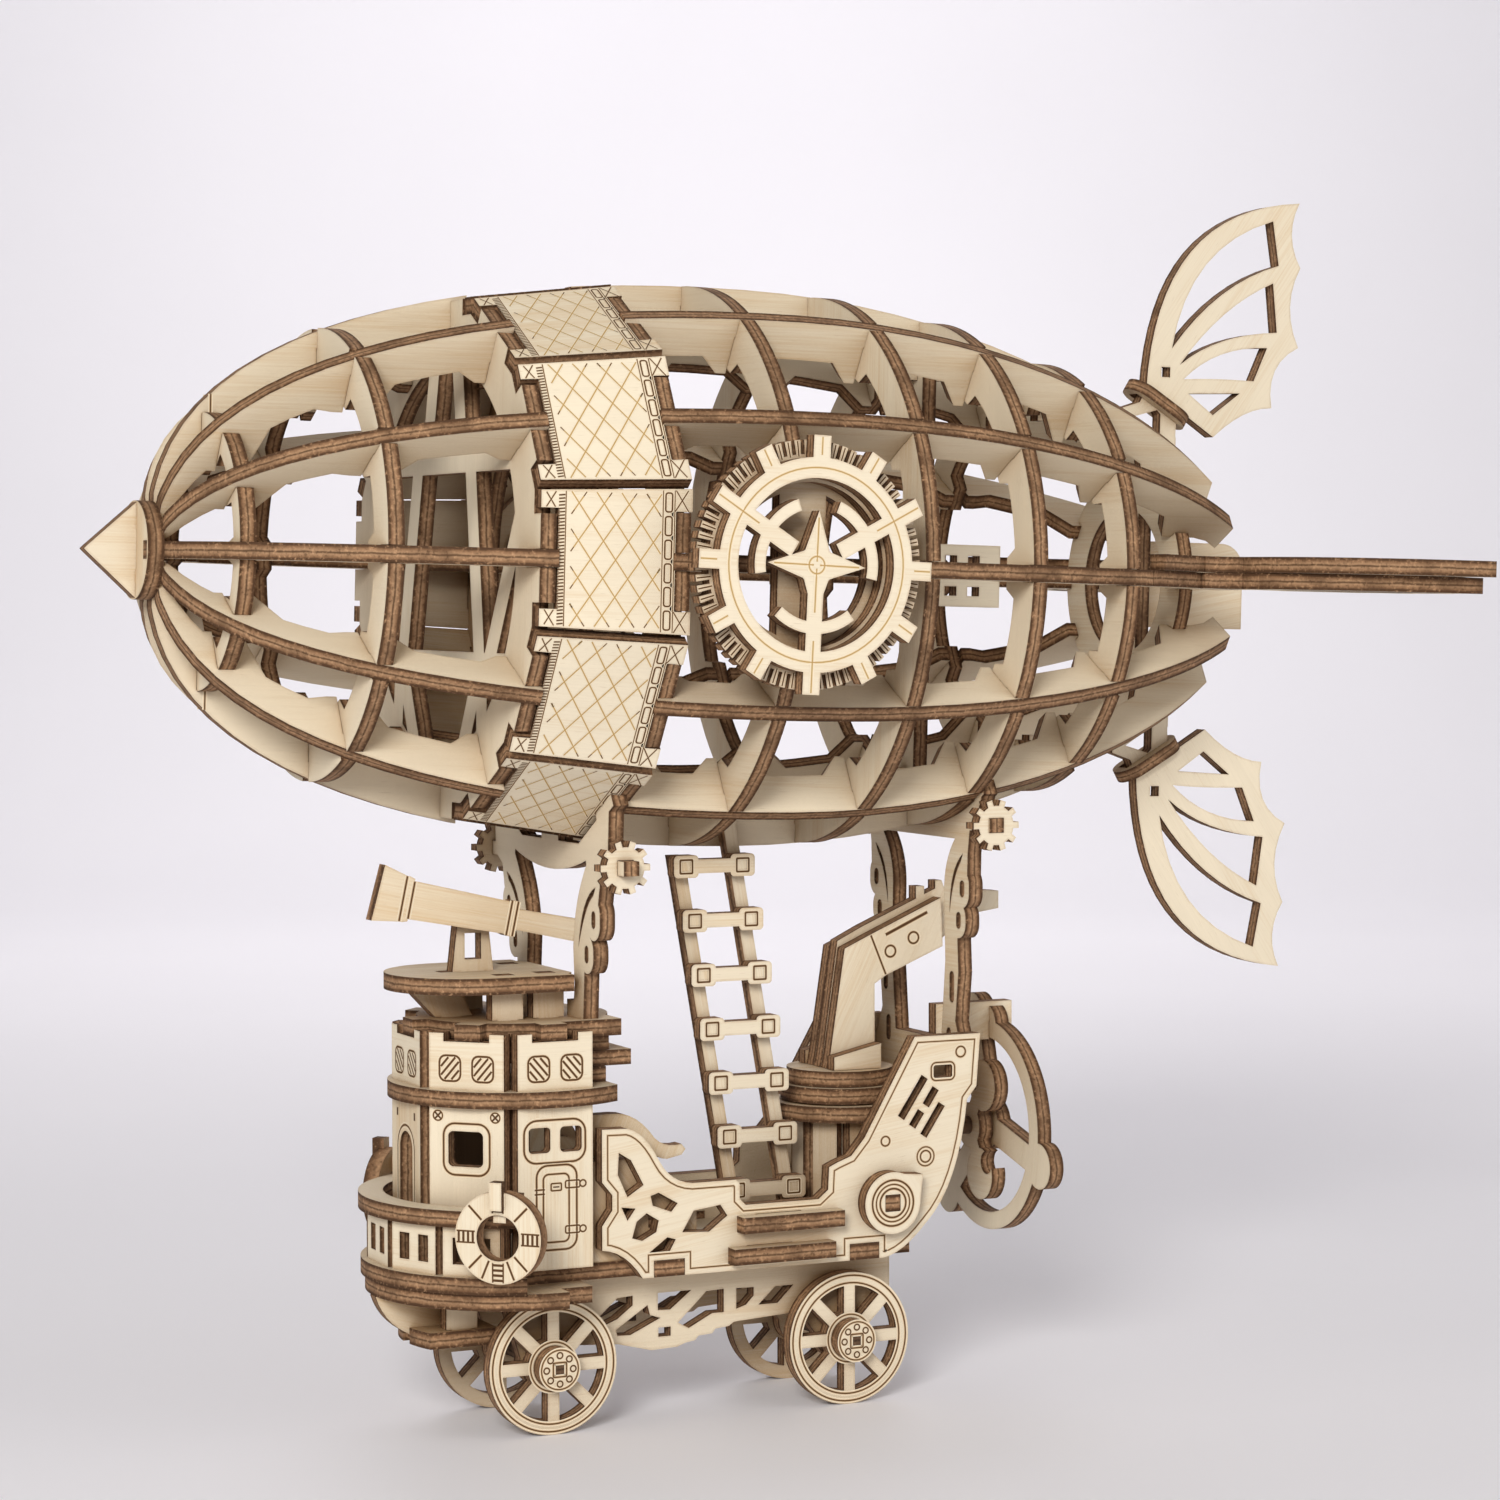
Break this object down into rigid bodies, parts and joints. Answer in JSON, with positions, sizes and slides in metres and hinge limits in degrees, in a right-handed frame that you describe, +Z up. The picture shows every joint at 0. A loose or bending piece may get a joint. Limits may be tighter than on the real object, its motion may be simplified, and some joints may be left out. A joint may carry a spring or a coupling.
{
  "type": "airship model",
  "caption": "Slot-together plywood airship model: ribbed hull with a panelled band and four bat-wing fins, on struts above a wheeled gondola with tower, telescope, ladder, crane and propeller.",
  "frame": {"origin": "middle of the bounding box, on the table under the wheels", "axes": "+X towards the tail, +Z up, -Y is the side with the ladder"},
  "size_m": [0.2514, 0.141, 0.2311],
  "materials": {
    "hull_ply": "pale basswood plywood, laser-burnt edges",
    "trim_ply": "pale basswood plywood, laser-burnt edges",
    "gondola_ply": "pale basswood plywood, laser-burnt edges and fine engraving",
    "moving_ply": "pale basswood plywood, laser-burnt edges",
    "dowel": "dark, laser-burnt stick"
  },
  "bodies": {
    "airship": {"nose_cone": "hull_ply", "nose_disc": "hull_ply", "stringers_vertical": "hull_ply", "stringers_side": "hull_ply", "stringers_upper": "hull_ply", "stringers_lower": "hull_ply", "rings_front": "hull_ply", "rings_middle": "hull_ply", "rings_rear": "hull_ply", "band_ring_front": "hull_ply", "band_ring_rear": "hull_ply", "band_panels": "hull_ply", "tail_disc": "hull_ply", "tail_plates": "hull_ply", "wing_top": "trim_ply", "wing_bottom": "trim_ply", "wing_left": "trim_ply", "wing_right": "trim_ply", "wing_collars": "trim_ply", "emblem_rings": "trim_ply", "emblem_backs": "trim_ply", "strut_gears": "trim_ply", "strut_front": "gondola_ply", "strut_rear": "gondola_ply", "ladder_rails": "gondola_ply", "ladder_rungs": "gondola_ply", "chassis_sides": "gondola_ply", "main_deck": "gondola_ply", "bow_boards": "gondola_ply", "prow_plates": "gondola_ply", "side_panel_left": "gondola_ply", "side_panel_right": "gondola_ply", "side_steps": "gondola_ply", "side_cams": "gondola_ply", "stairs": "gondola_ply", "cabin_panels": "gondola_ply", "tower_panels": "gondola_ply", "ring_deck": "gondola_ply", "landing_boards": "gondola_ply", "top_deck": "gondola_ply", "lookout_supports": "gondola_ply", "lookout_board": "gondola_ply", "telescope_stand": "gondola_ply", "gallery_panels": "gondola_ply", "gallery_rail": "gondola_ply", "lifebuoys": "gondola_ply", "crane_pedestal": "gondola_ply", "stern_plate": "gondola_ply", "prop_guard": "gondola_ply"},
    "front_wheelset": {"axle_front": "dowel", "wheel_front_left": "moving_ply", "wheel_front_right": "moving_ply"},
    "rear_wheelset": {"axle_rear": "dowel", "wheel_rear_left": "moving_ply", "wheel_rear_right": "moving_ply"},
    "propeller_set": {"propeller_shaft": "dowel", "propeller": "moving_ply"},
    "crane": {"crane_turntable": "moving_ply", "crane_arm": "moving_ply"},
    "telescope": {"telescope_tube": "moving_ply"}
  },
  "joints": [
    {"name": "front_wheels_roll", "type": "hinge", "parent": "airship", "child": "front_wheelset", "pos_m": [-0.0433, 0, 0.0125], "axis": [0, 1, 0], "continuous": true},
    {"name": "rear_wheels_roll", "type": "hinge", "parent": "airship", "child": "rear_wheelset", "pos_m": [0.0171, 0, 0.0125], "axis": [0, 1, 0], "continuous": true},
    {"name": "propeller_spin", "type": "hinge", "parent": "airship", "child": "propeller_set", "pos_m": [0.052, 0, 0.049], "axis": [1, 0, 0], "continuous": true},
    {"name": "crane_slew", "type": "hinge", "parent": "airship", "child": "crane", "pos_m": [0.0223, 0, 0.0562], "axis": [0, 0, 1], "range_deg": [-10, 10]},
    {"name": "telescope_tilt", "type": "hinge", "parent": "airship", "child": "telescope", "pos_m": [-0.0536, 0, 0.095], "axis": [0, 1, 0], "range_deg": [-15, 6]}
  ]
}
